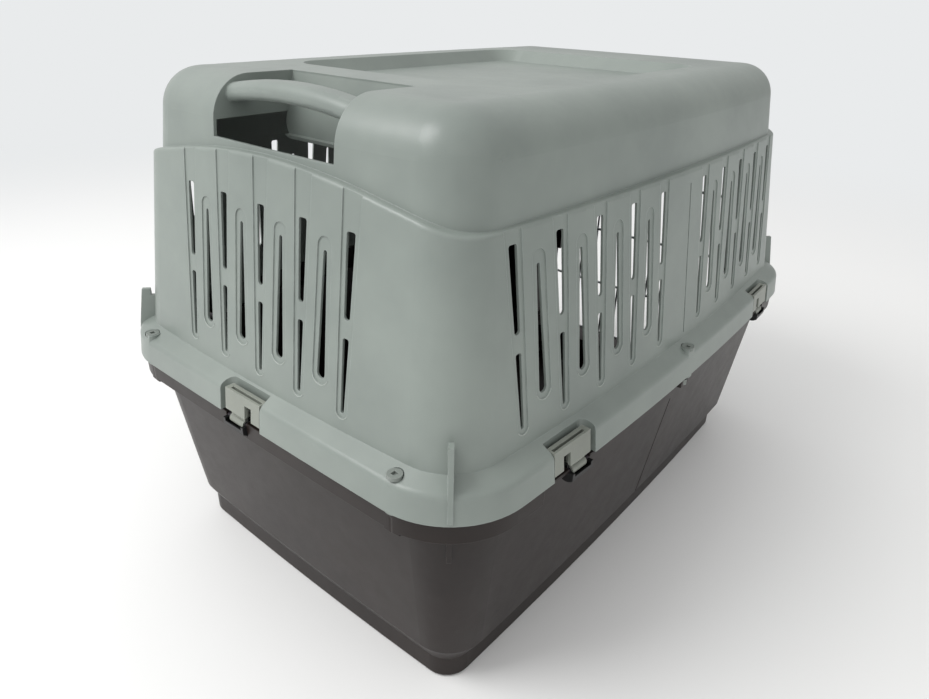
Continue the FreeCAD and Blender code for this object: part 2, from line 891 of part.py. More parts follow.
def lower_shell():
    wall = size("frame_wall")
    flange_low = size("flange_top") - size("shell_wall")
    outset = size("shell_wall") + size("nest_gap")
    flange = plan_loft(band_levels(flange_low, size("flange_top")), outset)
    outline = plan_loft(band_levels(size("nut_boss_low"), size("flange_top")), outset)
    bosses = []
    for x, y, on_side in bolt_places():
        bosses.append(post(size("nut_boss_radius"), x, y, boss_low(on_side), size("flange_top")).common(outline))
    shell = tub_form(0.0).fuse([flange] + lower_band() + bosses + corner_ribs())
    shell = shell.cut([tub_form(size("shell_wall")), side_grooves()])
    notches = []
    for frame in clip_frames():
        spread = size("shell_wall") + size("notch_gap")
        notches.append(recess_block(frame, spread, size("flange_top"), size("rim_crest") + 5))
        notches.append(cradle_window(frame))
    for x, y, on_side in bolt_places():
        notches.append(post(size("boss_radius") + size("notch_gap"), x, y, size("flange_top"), size("boss_top")))
    shell = shell.cut(notches)
    split = size("rim_low") - size("seat_gap")
    shell = shell.cut(door_block(wall + 1, split, size("rim_crest") + 5))
    shell = shell.fuse(door_block(wall, size("door_sill") - wall, split))
    shell = shell.cut(door_block(0.0, size("door_sill"), split + 5))
    for x, y, radius in door_holes():
        shell = shell.cut(post(radius, x, y, size("door_sill") - 2 * wall, size("door_sill") + 2))
    holes = []
    pocket = size("nut_radius") + size("nut_pocket_gap")
    for x, y, on_side in bolt_places():
        low = boss_low(on_side) - 1
        holes.append(post(size("bolt_shank_radius") + size("bolt_gap"), x, y, low, size("boss_top")))
        holes.append(post(pocket, x, y, low, size("nut_low") + size("nut_height")))
    shell = shell.cut(holes)
    return shell.removeSplitter()


# Pieces made of bound primitives

ALIASES = [name for name, value in SIZES]


def formula(text):
    return re.sub(r"[a-z][a-z_]*", lambda m: "Sizes." + m.group(0) if m.group(0) in ALIASES else m.group(0), text)


def bind(obj, **links):
    for prop, text in links.items():
        path = prop.replace("__", ".")
        obj.setExpression(path, formula(text))
    return obj


def bound_box(name, x0, x1, y0, y1, z0, z1):
    block = doc.addObject("Part::Box", name)
    return bind(
        block,
        Length="(%s) - (%s)" % (x1, x0),
        Width="(%s) - (%s)" % (y1, y0),
        Height="(%s) - (%s)" % (z1, z0),
        Placement__Base__x=x0,
        Placement__Base__y=y0,
        Placement__Base__z=z0,
    )


def bound_rod(name, radius, x, y, z, length, direction="z"):
    rod = doc.addObject("Part::Cylinder", name)
    turns = {"x": (Vector(0, 1, 0), 90), "y": (Vector(1, 0, 0), -90), "z": (Vector(0, 0, 1), 0)}
    rod.Placement = FreeCAD.Placement(Vector(0, 0, 0), FreeCAD.Rotation(*turns[direction]))
    return bind(
        rod,
        Radius=radius,
        Height=length,
        Placement__Base__x=x,
        Placement__Base__y=y,
        Placement__Base__z=z,
    )


def united(name, pieces):
    joined = doc.addObject("Part::MultiFuse", name)
    joined.Shapes = pieces
    joined.Refine = True
    return joined


def less(name, base, tools):
    tool = tools[0] if len(tools) == 1 else united(name + "_tools", tools)
    result = doc.addObject("Part::Cut", name)
    result.Base = base
    result.Tool = tool
    return result


# Clip levers, their black cradles and pins, drawn about the pin's axis


def mirrored_span(x0, x1, flip):
    if flip:
        return "-(%s)" % x1, "-(%s)" % x0
    return x0, x1


def bound_leaning(name, x0, x1, y_in, y_out, z0, z1):
    # block whose outer face leans inward with the rim; y_out holds at the rim's lower edge
    def outer(z):
        return "(%s) - ((%s) - (rim_low - clip_axis_height)) * rim_draft / (rim_crest - rim_low)" % (y_out, z)

    block = doc.addObject("Part::Wedge", name)
    block.Placement = FreeCAD.Placement(Vector(0, 0, 0), FreeCAD.Rotation(Vector(1, 0, 0), 90))
    return bind(
        block,
        Xmin=x0,
        Xmax=x1,
        X2min=x0,
        X2max=x1,
        Ymin=z0,
        Ymax=z1,
        Zmin="-(%s)" % outer(z0),
        Zmax="-(%s)" % y_in,
        Z2min="-(%s)" % outer(z1),
        Z2max="-(%s)" % y_in,
    )


def clip_lever(frame):
    name = frame[0] + "_clip"
    flip = frame[4]
    half = "clip_length / 2"
    out = "clip_axis_inset"
    low = "(clip_plate_low - clip_axis_height)"
    top = "(clip_plate_top - clip_axis_height)"
    web = "(clip_plate_top - clip_axis_height - clip_web_thickness)"
    back = "(clip_axis_inset - clip_web_depth)"
    leg_front = back + " + clip_leg_thickness"
    body = bound_leaning(name + "_block", "-" + half, half, back, out, low, top)
    span = ("-%s + clip_end_wall" % half, "%s - clip_end_wall" % half)
    cavity = bound_leaning(
        name + "_cavity", span[0], span[1], leg_front, out + " - clip_plate_thickness", low + " - 1", web
    )
    under_leg = bound_box(
        name + "_under", "-clip_length", "clip_length", back + " - 1", leg_front, low + " - 1", "clip_leg_low - clip_axis_height"
    )
    hood = less(name + "_hood", body, [cavity, under_leg])
    arm = mirrored_span("cradle_start + cheek_width + notch_gap", half + " - notch_gap", flip)
    barrel = bound_rod(name + "_barrel", "knuckle_radius", arm[0], "0", "0", "(%s) - (%s)" % (arm[1], arm[0]), "x")
    post_up = bound_box(name + "_arm", arm[0], arm[1], "-arm_back", "arm_front", "0", low + " + clip_plate_thickness")
    link = bound_box(
        name + "_link",
        arm[0],
        arm[1],
        "-arm_back",
        out + " - clip_plate_thickness",
        low,
        low + " + clip_plate_thickness",
    )
    lever_body = united(name + "_body", [hood, barrel, post_up, link])
    notch = mirrored_span(
        "-clip_length / 2 + clip_notch_start", "-clip_length / 2 + clip_notch_start + clip_notch_width", flip
    )
    groove = mirrored_span("-clip_length / 2 + groove_toe_edge", "clip_length / 2 - groove_open_edge", flip)
    tools = [
        bound_rod(name + "_bore", "clip_pin_radius + pin_fit", "-clip_length", "0", "0", "2 * clip_length", "x"),
        bound_box(name + "_notch", notch[0], notch[1], "0", out + " + 1", low + " - 1", low + " + clip_notch_height"),
        bound_box(
            name + "_groove",
            groove[0],
            groove[1],
            leg_front,
            leg_front + " + clip_groove_width",
            web + " - 1",
            top + " + 1",
        ),
    ]
    lever = less(name, lever_body, tools)
    lever.Placement = clip_placement(frame)
    return keep(lever, name)


def clip_cradle(frame):
    # open trough round the pin with a cheek at each end
    name = frame[0] + "_cradle"
    flip = frame[4]
    back = "(clip_axis_inset - recess_depth + seat_gap)"
    whole = mirrored_span("cradle_start", "cradle_start + cradle_length", flip)
    inside = mirrored_span("cradle_start + cheek_width", "cradle_start + cradle_length - cheek_width", flip)
    width = "cradle_length"
    inner_width = "cradle_length - 2 * cheek_width"
    high = "cradle_top - clip_axis_height"
    round_part = bound_rod(name + "_round", "hook_radius", whole[0], "0", "0", width, "x")
    plate = bound_box(name + "_plate", whole[0], whole[1], back, back + " + cradle_plate", "-cradle_lip", high)
    hollow = bound_rod(name + "_hollow", "hook_radius - cradle_plate", inside[0], "0", "0", inner_width, "x")
    reach = "2 * hook_radius"
    front = bound_box(
        name + "_front", inside[0], inside[1], back + " + cradle_plate", reach, "-cradle_lip", reach
    )
    tools = [
        hollow,
        front,
        bound_box(name + "_behind", whole[0], whole[1], "-" + reach, back, "-" + reach, reach),
        bound_box(name + "_over", whole[0], whole[1], "-" + reach, reach, high, reach),
        bound_box(name + "_before", whole[0], whole[1], "clip_axis_inset", reach, "-" + reach, reach),
        bound_box(name + "_mouth", whole[0], whole[1], "pin_fit * 4", reach, "pin_fit * 4", reach),
        bound_rod(name + "_bore", "clip_pin_radius + pin_fit / 2", "-clip_length", "0", "0", "2 * clip_length", "x"),
    ]
    cradle = less(name, united(name + "_body", [round_part, plate]), tools)
    cradle.Placement = clip_placement(frame)
    return keep(cradle, name)


def clip_pins():
    pins = []
    for frame in clip_frames():
        pin = doc.addObject("Part::Cylinder", frame[0] + "_pin")
        bind(pin, Radius="clip_pin_radius", Height="cradle_length")
        start = size("cradle_start")
        if frame[4]:
            start = -start - size("cradle_length")
        turn = FreeCAD.Rotation(Vector(0, 1, 0), 90)
        pin.Placement = clip_placement(frame).multiply(FreeCAD.Placement(Vector(start, 0, 0), turn))
        pins.append(pin)
    group = doc.addObject("Part::Compound", "clip_pins")
    group.Links = pins
    return keep(group, "clip_pins")


# Rim bolts and nuts


def rim_bolts():
    bolts = []
    for index, (x, y, on_side) in enumerate(bolt_places()):
        label = "bolt_%d" % (index + 1)
        seat = "boss_top - bolt_head_height"
        head = bound_rod(label + "_head", "bolt_head_radius", "0", "0", seat, "bolt_head_height")
        low = "nut_low - 1"
        shank = bound_rod(label + "_shank", "bolt_shank_radius", "0", "0", low, "%s - (%s) + 0.5" % (seat, low))
        edge = "bolt_socket / 2"
        deep = "boss_top - bolt_socket_depth"
        socket = bound_box(label + "_socket", "-" + edge, edge, "-" + edge, edge, deep, "boss_top + 1")
        bolt = less(label, united(label + "_body", [head, shank]), [socket])
        bolt.Placement.Base = Vector(x, y, 0)
        bolts.append(bolt)
    group = doc.addObject("Part::Compound", "rim_bolts")
    group.Links = bolts
    return keep(group, "rim_bolts")


def rim_nuts():
    nuts = []
    for index, (x, y, on_side) in enumerate(bolt_places()):
        label = "nut_%d" % (index + 1)
        prism = doc.addObject("Part::Prism", label + "_prism")
        bind(prism, Circumradius="nut_radius", Height="nut_height", Placement__Base__z="nut_low")
        bore = bound_rod(label + "_bore", "bolt_shank_radius + pin_fit / 2", "0", "0", "nut_low - 1", "nut_height + 2")
        nut = less(label, prism, [bore])
        nut.Placement.Base = Vector(x, y, 0)
        nuts.append(nut)
    group = doc.addObject("Part::Compound", "rim_nuts")
    group.Links = nuts
    return keep(group, "rim_nuts")


# Wire door


def wire_places():
    edge = size("door_half_width") - size("door_edge_gap") - size("wire_radius")
    count = int(size("wire_count"))
    step = (edge + size("hinge_offset")) / count
    return [-size("hinge_offset") + step * (index + 1) for index in range(count)]


def bar_heights():
    low = size("door_sill") + size("door_edge_gap") + size("wire_tail")
    high = size("door_lintel") - size("door_edge_gap") - size("wire_tail")
    count = int(size("bar_count"))
    return [low + (high - low) * index / (count - 1) for index in range(count)]


def bar_plane():
    return -size("door_plane") + size("wire_radius") + size("bar_radius") - size("wire_overlap")


def door_grille():
    plane = -size("door_plane")
    low = size("door_sill") + size("door_edge_gap")
    high = size("door_lintel") - size("door_edge_gap")
    past = size("frame_wall") + 2
    pieces = [
        post(size("hinge_radius"), -size("hinge_offset"), plane, size("door_sill") - past, size("door_lintel") + past)
    ]
    wires = wire_places()
    for x in wires:
        pieces.append(post(size("wire_radius"), x, plane, low, high))
    x0 = -size("hinge_offset") - 3
    length = wires[-1] + 2.5 - x0
    grid = pieces[0].fuse(pieces[1:])
    bars = []
    for z in bar_heights():
        bars.append(Part.makeCylinder(size("bar_radius"), length, Vector(x0, bar_plane(), z), Vector(1, 0, 0)))
    return grid.fuse(bars)


def latch_line():
    return "(door_half_width - rod_inset)", "(-door_plane - rod_forward)"


def case_back():
    return "(-door_plane - wire_radius - seat_gap)"


def case_front():
    return "(-door_plane - wire_radius - seat_gap - case_depth)"


def latch_case():
    x, y = latch_line()
    back = case_back()
    front = case_front()
    wide = "case_width / 2"
    tall = "case_height / 2"
    outer = bound_box(
        "case_outer", x + " - " + wide, x + " + " + wide, front, back, "latch_middle - " + tall, "latch_middle + " + tall
    )
    inner = bound_box(
        "case_inner",
        x + " - " + wide + " + case_wall",
        x + " + " + wide + " - case_wall",
        front + " + case_wall",
        back + " + 1",
        "latch_middle - " + tall + " + case_wall",
        "latch_middle + " + tall + " - case_wall",
    )
    tray = less("case_tray", outer, [inner])
    posts = []
    tools = [bound_rod("case_rod_hole", "rod_radius + pin_fit", x, y, "latch_middle - case_height", "2 * case_height")]
    for sign, label in (("-", "low"), ("+", "high")):
        height = "latch_middle %s latch_screw_rise" % sign
        place = x + " + latch_screw_shift"
        posts.append(bound_rod("case_post_" + label, "latch_screw_head", place, front + " + 1", height, "case_depth - 1", "y"))
        tools.append(
            bound_rod(
                "case_pilot_" + label,
                "latch_screw_radius + pin_fit / 2",
                place,
                front + " + case_wall",
                height,
                "case_depth",
                "y",
            )
        )
        middle = "latch_middle %s (knob_spacing - rod_travel / 2)" % sign
        rise = "(knob_height + rod_travel) / 2 + knob_slot_gap"
        tools.append(
            bound_box(
                "case_window_" + label,
                x + " - knob_width / 2 - knob_slot_gap",
                x + " + knob_width / 2 + knob_slot_gap",
                front + " - 1",
                front + " + case_wall + 0.5",
                middle + " - (" + rise + ")",
                middle + " + " + rise,
            )
        )
    body = united("case_body", [tray] + posts)
    return keep(less("latch_case", body, tools), "latch_case")


def plate_front():
    return "(-door_plane + 2 * wire_radius + 2 * bar_radius - wire_overlap - wire_radius + seat_gap)"


def latch_back():
    x, y = latch_line()
    front = plate_front()
    wide = "case_width / 2"
    tall = "case_height / 2"
    plate = bound_box(
        "back_plate",
        x + " - " + wide,
        x + " + " + wide,
        front,
        front + " + back_thickness",
        "latch_middle - " + tall,
        "latch_middle + " + tall,
    )
    tools = []
    for sign, label in (("-", "low"), ("+", "high")):
        height = "latch_middle %s latch_screw_rise" % sign
        place = x + " + latch_screw_shift"
        tools.append(
            bound_rod("back_hole_" + label, "latch_screw_radius + pin_fit", place, front + " - 1", height, "back_thickness + 2", "y")
        )
    return keep(less("latch_back", plate, tools), "latch_back")


def latch_screws():
    x, y = latch_line()
    rear = plate_front() + " + back_thickness"
    screws = []
    for sign, label in (("-", "low"), ("+", "high")):
        height = "latch_middle %s latch_screw_rise" % sign
        place = x + " + latch_screw_shift"
        head = bound_rod("screw_head_" + label, "latch_screw_head", place, rear, height, "latch_screw_radius", "y")
        tip = case_front() + " + case_wall + 1"
        length = "%s - (%s) + 0.5" % (rear, tip)
        shank = bound_rod("screw_shank_" + label, "latch_screw_radius", place, tip, height, length, "y")
        screws.append(united("screw_" + label, [head, shank]))
    group = doc.addObject("Part::Compound", "latch_screws")
    group.Links = screws
    return keep(group, "latch_screws")


def latch_bolt(name, sign):
    # rod and finger piece, drawn back clear of the frame
    x, y = latch_line()
    middle = "latch_middle %s (knob_spacing - rod_travel)" % sign
    inner = "latch_middle %s (knob_spacing - rod_travel - knob_height / 2)" % sign
    if sign == "+":
        start = inner
        stop = "door_lintel + frame_wall + rod_reach - rod_travel"
    else:
        start = "door_sill - frame_wall - rod_reach + rod_travel"
        stop = inner
    rod = bound_rod(name + "_rod", "rod_radius", x, y, start, "(%s) - (%s)" % (stop, start))
    keep(rod, name + "_rod")
    front = case_front() + " - knob_proud"
    block = bound_box(
        name + "_knob_block",
        x + " - knob_width / 2",
        x + " + knob_width / 2",
        front,
        y + " + rod_radius + 1.4",
        middle + " - knob_height / 2",
        middle + " + knob_height / 2",
    )
    bore = bound_rod(name + "_knob_bore", "rod_radius + pin_fit / 5", x, y, middle + " - knob_height", "2 * knob_height")
    keep(less(name + "_knob", block, [bore]), name + "_knob")


def latch_guide(name, sign):
    x, y = latch_line()
    edge = "door_lintel - door_edge_gap - wire_tail" if sign == "+" else "door_sill + door_edge_gap + wire_tail"
    near = "(%s %s guide_inset)" % (edge, "-" if sign == "+" else "+")
    block = bound_box(
        name + "_block",
        x + " - rod_radius - guide_height + 3.5",
        x + " + rod_radius + 3.5",
        y + " - rod_radius - 1.5",
        "-door_plane + wire_radius + 2",
        near + " - guide_height / 2",
        near + " + guide_height / 2",
    )
    rod_hole = bound_rod(name + "_rod_hole", "rod_radius + pin_fit", x, y, near + " - guide_height", "2 * guide_height")
    wire_hole = doc.addObject("Part::Cylinder", name + "_wire_hole")
    bind(wire_hole, Radius="wire_radius + pin_fit", Height="2 * guide_height", Placement__Base__z=near + " - guide_height")
    wire_hole.Placement.Base.x = nearest_wire()
    wire_hole.Placement.Base.y = -size("door_plane")
    keep(less(name, block, [rod_hole, wire_hole]), name)


def nearest_wire():
    rod = size("door_half_width") - size("rod_inset")
    return max(x for x in wire_places() if x < rod - size("rod_radius"))


def latch_spring():
    # the coil is drawn as the plain sleeve that it fills, between the two finger pieces
    x, y = latch_line()
    room = "(2 * (knob_spacing - rod_travel) - knob_height - 2 * seat_gap)"
    low = "latch_middle - " + room + " / 2"
    sleeve = bound_rod("spring_sleeve", "spring_radius + spring_wire / 2", x, y, low, room)
    bore = bound_rod("spring_bore", "spring_radius - spring_wire / 2", x, y, low + " - 1", room + " + 2")
    return keep(less("latch_spring", sleeve, [bore]), "latch_spring")


def build():
    add_shape("upper_shell", upper_shell())
    add_shape("lower_shell", lower_shell())
    for frame in clip_frames():
        clip_lever(frame)
        clip_cradle(frame)
    clip_pins()
    rim_bolts()
    rim_nuts()
    add_shape("door_grille", door_grille())
    latch_case()
    latch_back()
    latch_screws()
    latch_bolt("upper", "+")
    latch_bolt("lower", "-")
    latch_guide("upper_guide", "+")
    latch_guide("lower_guide", "-")
    latch_spring()


def export():
    doc.recompute()
    for obj in doc.Objects:
        if "Invalid" in obj.State or "Error" in obj.State:
            raise RuntimeError("%s did not build: %s" % (obj.Name, obj.State))
    for obj in parts:
        if obj.Shape.isNull() or not obj.Shape.isValid():
            raise RuntimeError("%s has a bad shape" % obj.Label)
    os.makedirs("parts", exist_ok=True)
    for obj in parts:
        obj.Shape.exportStep("parts/%s.step" % obj.Label)
        print("%-20s %2d solids %12.1f mm3" % (obj.Label, len(obj.Shape.Solids), obj.Shape.Volume))


build()
export()
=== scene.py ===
import math
import bpy
import bmesh
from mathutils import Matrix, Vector
from mathutils.bvhtree import BVHTree


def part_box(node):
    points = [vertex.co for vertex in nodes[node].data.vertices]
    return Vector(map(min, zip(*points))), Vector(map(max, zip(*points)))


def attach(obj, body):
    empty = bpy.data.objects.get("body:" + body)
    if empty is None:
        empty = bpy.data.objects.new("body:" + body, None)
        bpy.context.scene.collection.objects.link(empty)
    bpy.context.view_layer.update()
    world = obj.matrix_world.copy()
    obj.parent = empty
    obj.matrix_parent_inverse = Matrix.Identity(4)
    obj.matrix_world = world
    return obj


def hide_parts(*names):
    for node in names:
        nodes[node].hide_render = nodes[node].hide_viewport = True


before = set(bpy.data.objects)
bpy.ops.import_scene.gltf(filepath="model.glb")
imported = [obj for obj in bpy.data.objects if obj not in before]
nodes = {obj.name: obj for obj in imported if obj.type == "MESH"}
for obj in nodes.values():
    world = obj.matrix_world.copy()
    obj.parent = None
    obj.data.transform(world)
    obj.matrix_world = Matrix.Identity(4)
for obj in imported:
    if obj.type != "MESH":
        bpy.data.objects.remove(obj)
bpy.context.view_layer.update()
scene = bpy.context.scene
print("frame loaded:", len(nodes), "nodes")


def toLinear(hexColour):
    channels = [int(hexColour[i:i + 2], 16) / 255 for i in (1, 3, 5)]
    return tuple(c / 12.92 if c <= 0.04045 else ((c + 0.055) / 1.055) ** 2.4 for c in channels) + (1.0,)


def addNode(tree, kind, links=None, **settings):
    # settings are socket names or node properties; links are {socket: (node, output)}
    node = tree.nodes.new(kind)
    for key, value in settings.items():
        socket = key.replace("_", " ")
        if key[0].isupper() and socket in node.inputs:
            node.inputs[socket].default_value = value
        else:
            setattr(node, key, value)
    for socket, (source, output) in (links or {}).items():
        tree.links.new(source.outputs[output], node.inputs[socket])
    return node


def startMaterial(name):
    material = bpy.data.materials.new(name)
    material.use_nodes = True
    tree = material.node_tree
    tree.nodes.clear()
    return material, tree


def closeMaterial(tree, shader):
    addNode(tree, "ShaderNodeOutputMaterial", {"Surface": (shader, "BSDF")})


# camera at the photograph's viewing angle
cameraView = {"place": (-0.46415, 0.62910, 0.56672), "turn": (62.6949, -1.5266, -140.1206), "lens": 26.67}


def makeCamera():
    data = bpy.data.cameras.new("camera")
    data.lens = cameraView["lens"]
    data.sensor_width = 36
    data.clip_start = 0.02
    data.clip_end = 50
    camera = bpy.data.objects.new("camera", data)
    camera.location = cameraView["place"]
    camera.rotation_euler = [math.radians(a) for a in cameraView["turn"]]
    scene.collection.objects.link(camera)
    scene.camera = camera


makeCamera()
print("camera set")


# moulded plastics: colours, gloss and how worn each one is
shellPlastic = {
    "upperDark": "#7c847f", "upperPale": "#8b938d", "upperWorn": "#b3bcb9", "upperGloss": 0.35,
    "lowerDark": "#1c1513", "lowerPale": "#261e1b", "lowerWorn": "#4a413e", "lowerGloss": 0.36,
    "grain": 1.3, "grainDepth": 0.07, "softEdge": 0.8, "wearWidth": 1.4,
}


def mouldedPlastic(name, dark, pale, worn, gloss, grain, grainDepth, wear=0.5, softEdge=0.8, shine=0.5):
    # sizes in mm; dark to pale is slow drift in the pigment, worn the rubbed and chalky look of edges
    material, tree = startMaterial(name)
    place = addNode(tree, "ShaderNodeTexCoord")
    drift = addNode(tree, "ShaderNodeTexNoise", {"Vector": (place, "Object")}, Scale=7.0, Detail=4.0, Roughness=0.6)
    colour = addNode(tree, "ShaderNodeValToRGB", {"Fac": (drift, "Fac")})
    setRamp(colour, (0.32, toLinear(dark)), (0.68, toLinear(pale)))
    # soft moulded edges, and the same bevel tells where the edges are
    rounded = addNode(tree, "ShaderNodeBevel", samples=6, Radius=softEdge / 1000)
    wide = addNode(tree, "ShaderNodeBevel", samples=6, Radius=shellPlastic["wearWidth"] / 1000)
    shape = addNode(tree, "ShaderNodeNewGeometry")
    facing = addNode(tree, "ShaderNodeVectorMath", {0: (wide, "Normal"), 1: (shape, "Normal")}, operation="DOT_PRODUCT")
    edge = addNode(tree, "ShaderNodeMapRange", {"Value": (facing, "Value")}, From_Min=0.995, From_Max=0.86)
    patches = addNode(tree, "ShaderNodeTexNoise", {"Vector": (place, "Object")}, Scale=55.0, Detail=5.0, Roughness=0.65)
    rubbed = addNode(tree, "ShaderNodeMapRange", {"Value": (patches, "Fac")}, From_Min=0.35, From_Max=0.7, To_Max=wear)
    amount = addNode(tree, "ShaderNodeMath", {0: (edge, "Result"), 1: (rubbed, "Result")}, operation="MULTIPLY")
    mixed = addNode(
        tree, "ShaderNodeMix", {"Factor": (amount, "Value"), 6: (colour, "Color")}, data_type="RGBA", blend_type="MIX")
    mixed.inputs[7].default_value = toLinear(worn)
    # the spark-eroded mould leaves a fine even grain
    fine = addNode(tree, "ShaderNodeTexNoise", {"Vector": (place, "Object")}, Scale=1000 / grain, Detail=2.0, Roughness=0.5)
    bump = addNode(
        tree, "ShaderNodeBump", {"Height": (fine, "Fac"), "Normal": (rounded, "Normal")},
        Strength=0.6, Distance=grainDepth / 1000)
    # handling polishes some patches and dulls others
    sheen = addNode(tree, "ShaderNodeMapRange", {"Value": (patches, "Fac")}, To_Min=gloss - 0.06, To_Max=gloss + 0.09)
    shader = addNode(
        tree, "ShaderNodeBsdfPrincipled",
        {"Base Color": (mixed, 2), "Normal": (bump, "Normal"), "Roughness": (sheen, "Result")},
        IOR=1.49, Specular_IOR_Level=shine)
    closeMaterial(tree, shader)
    return material


def setRamp(node, low, high):
    for element, (position, colour) in zip(node.color_ramp.elements, (low, high)):
        element.position = position
        element.color = colour


def platedWire(name, colour, gloss):
    # bright zinc over drawn steel: a metal with fine lengthwise marks and slight clouding
    material, tree = startMaterial(name)
    place = addNode(tree, "ShaderNodeTexCoord")
    cloud = addNode(tree, "ShaderNodeTexNoise", {"Vector": (place, "Object")}, Scale=40.0, Detail=4.0)
    tint = addNode(tree, "ShaderNodeValToRGB", {"Fac": (cloud, "Fac")})
    setRamp(tint, (0.3, toLinear(colour[0])), (0.7, toLinear(colour[1])))
    dull = addNode(tree, "ShaderNodeMapRange", {"Value": (cloud, "Fac")}, To_Min=gloss - 0.06, To_Max=gloss + 0.12)
    marks = addNode(tree, "ShaderNodeTexNoise", {"Vector": (place, "Object")}, Scale=900.0, Detail=3.0)
    bump = addNode(tree, "ShaderNodeBump", {"Height": (marks, "Fac")}, Strength=0.3, Distance=0.00005)
    shader = addNode(
        tree, "ShaderNodeBsdfPrincipled",
        {"Base Color": (tint, "Color"), "Roughness": (dull, "Result"), "Normal": (bump, "Normal")}, Metallic=1.0)
    closeMaterial(tree, shader)
    return material


grain = shellPlastic["grain"]
depth = shellPlastic["grainDepth"]
upperPolypropylene = mouldedPlastic(
    "greyGreenPolypropyleneMoulded", shellPlastic["upperDark"], shellPlastic["upperPale"], shellPlastic["upperWorn"],
    shellPlastic["upperGloss"], grain, depth)
lowerPolypropylene = mouldedPlastic(
    "darkBrownPolypropyleneMoulded", shellPlastic["lowerDark"], shellPlastic["lowerPale"], shellPlastic["lowerWorn"],
    shellPlastic["lowerGloss"], grain, depth, shine=0.28)
clipPolypropylene = mouldedPlastic(
    "greyGreenClipPolypropylene", "#7d8179", "#8c9087", "#b4b8b0", 0.38, grain, depth * 0.6, wear=0.7, softEdge=0.5)
# cradles: dark moulded plastic, made near-black and darker than the lower shell to paint the shade that falls under the
# rim
hookNylonPaintedShade = mouldedPlastic(
    "blackNylonWithPaintedShade", "#0c0c0d", "#141415", "#2c2c2e", 0.36, grain, depth * 0.5, softEdge=0.4)
pinNylon = mouldedPlastic("darkNylonRod", "#1c161c", "#251d25", "#3b333b", 0.34, grain, depth * 0.3, softEdge=0.3)
boltPolypropylene = mouldedPlastic(
    "greyBoltPolypropylene", "#767c77", "#858b86", "#a9afaa", 0.36, grain, depth * 0.5, wear=0.7, softEdge=0.4)
# pale lip colour: a painted highlight, the light caught by the lower edge of each vent column
lipPaintedHighlightPolypropylene = mouldedPlastic(
    "paleLipPaintedHighlight", "#949b95", "#a8afa9", "#c2c8c3", 0.42, grain, depth * 0.3, wear=0.4, softEdge=0.2)
zincWire = platedWire("zincPlatedSteelWire", ("#bfc1c3", "#d2d4d5"), 0.28)
springSteel = platedWire("springSteelWire", ("#8f9194", "#a9abae"), 0.30)
print("materials made")


def dress(names, material):
    for name in names:
        mesh = nodes[name].data
        mesh.materials.clear()
        mesh.materials.append(material)


clips = ["end", "left_front", "left_rear", "right_front", "right_rear"]
dress(["upper_shell"], upperPolypropylene)
dress(["lower_shell", "latch_case", "latch_back", "upper_guide", "lower_guide", "upper_knob", "lower_knob"], lowerPolypropylene)
dress([name + "_clip" for name in clips], clipPolypropylene)
dress([name + "_cradle" for name in clips], hookNylonPaintedShade)
dress(["clip_pins"], pinNylon)
dress(["rim_bolts", "rim_nuts"], boltPolypropylene)
dress(["door_grille", "latch_screws", "upper_rod", "lower_rod"], zincWire)
dress(["latch_spring"], springSteel)
print("frame nodes dressed")


def tubeMesh(name, paths, radius, sides, material):
    # one round tube along each path
    work = bmesh.new()
    for path in paths:
        rings = []
        for index, point in enumerate(path):
            along = (path[min(index + 1, len(path) - 1)] - path[max(index - 1, 0)]).normalized()
            first = along.orthogonal().normalized() if not rings else (lastSide - lastSide.dot(along) * along).normalized()
            lastSide = first
            second = along.cross(first)
            turns = [2 * math.pi * side / sides for side in range(sides)]
            rings.append([work.verts.new(point + radius * (math.cos(t) * first + math.sin(t) * second)) for t in turns])
        for near, far in zip(rings, rings[1:]):
            for side in range(sides):
                after = (side + 1) % sides
                work.faces.new((near[side], near[after], far[after], far[side])).smooth = True
        work.faces.new(list(reversed(rings[0])))
        work.faces.new(rings[-1])
    mesh = bpy.data.meshes.new(name)
    work.to_mesh(mesh)
    work.free()
    mesh.materials.append(material)
    piece = bpy.data.objects.new(name, mesh)
    scene.collection.objects.link(piece)
    return piece


# raised lips round the foot of each vent column, in mm; their pale colour is a painted highlight along the lower edge
# of each column
columnLip = {
    "pitch": 26.0, "sidePitch": 26.6, "sideMiddle": 152.0,
    "stripFoot": 268.5, "stripWidth": 12.0, "pocketFoot": 288.5, "pocketWidth": 18.0,
    "thickness": 1.0, "standOff": 0.4, "spread": 68,
}


def lipPaths():
    # U shapes laid on the wall by looking straight at it from outside
    wall = BVHTree.FromObject(nodes["upper_shell"], bpy.context.evaluated_depsgraph_get())
    columns = [(Vector((0, 1, 0)), index, index * columnLip["pitch"]) for index in range(-4, 5)]
    for side in (1, -1):
        for group in (1, -1):
            for index in range(-4, 5):
                columns.append((Vector((side, 0, 0)), index, group * columnLip["sideMiddle"] + index * columnLip["sidePitch"]))
    paths = []
    for outward, index, along in columns:
        single = index % 2 == 1
        radius = columnLip["pocketWidth" if single else "stripWidth"] / 2 + columnLip["thickness"] / 2
        foot = columnLip["pocketFoot" if single else "stripFoot"] - columnLip["thickness"] / 2
        across = Vector((1, 0, 0)) if outward.y else Vector((0, 1, 0))
        path = []
        for step in range(17):
            turn = math.radians(columnLip["spread"] * (step / 8 - 1))
            level = (foot + radius - radius * math.cos(turn)) / 1000
            start = across * (along + radius * math.sin(turn)) / 1000 + outward * 0.6 + Vector((0, 0, level))
            hit, normal, face, distance = wall.ray_cast(start, -outward)
            path.append(hit - outward * (columnLip["thickness"] / 2 - columnLip["standOff"]) / 1000)
        paths.append(path)
    return paths


columnLips = tubeMesh("columnLips", lipPaths(), columnLip["thickness"] / 2000, 8, lipPaintedHighlightPolypropylene)
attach(columnLips, "carrier")
print("column lips made")

# coil spring between the two finger pieces of the door latch, in mm
latchCoil = {"wire": 0.9, "turns": 9, "stepsPerTurn": 24}


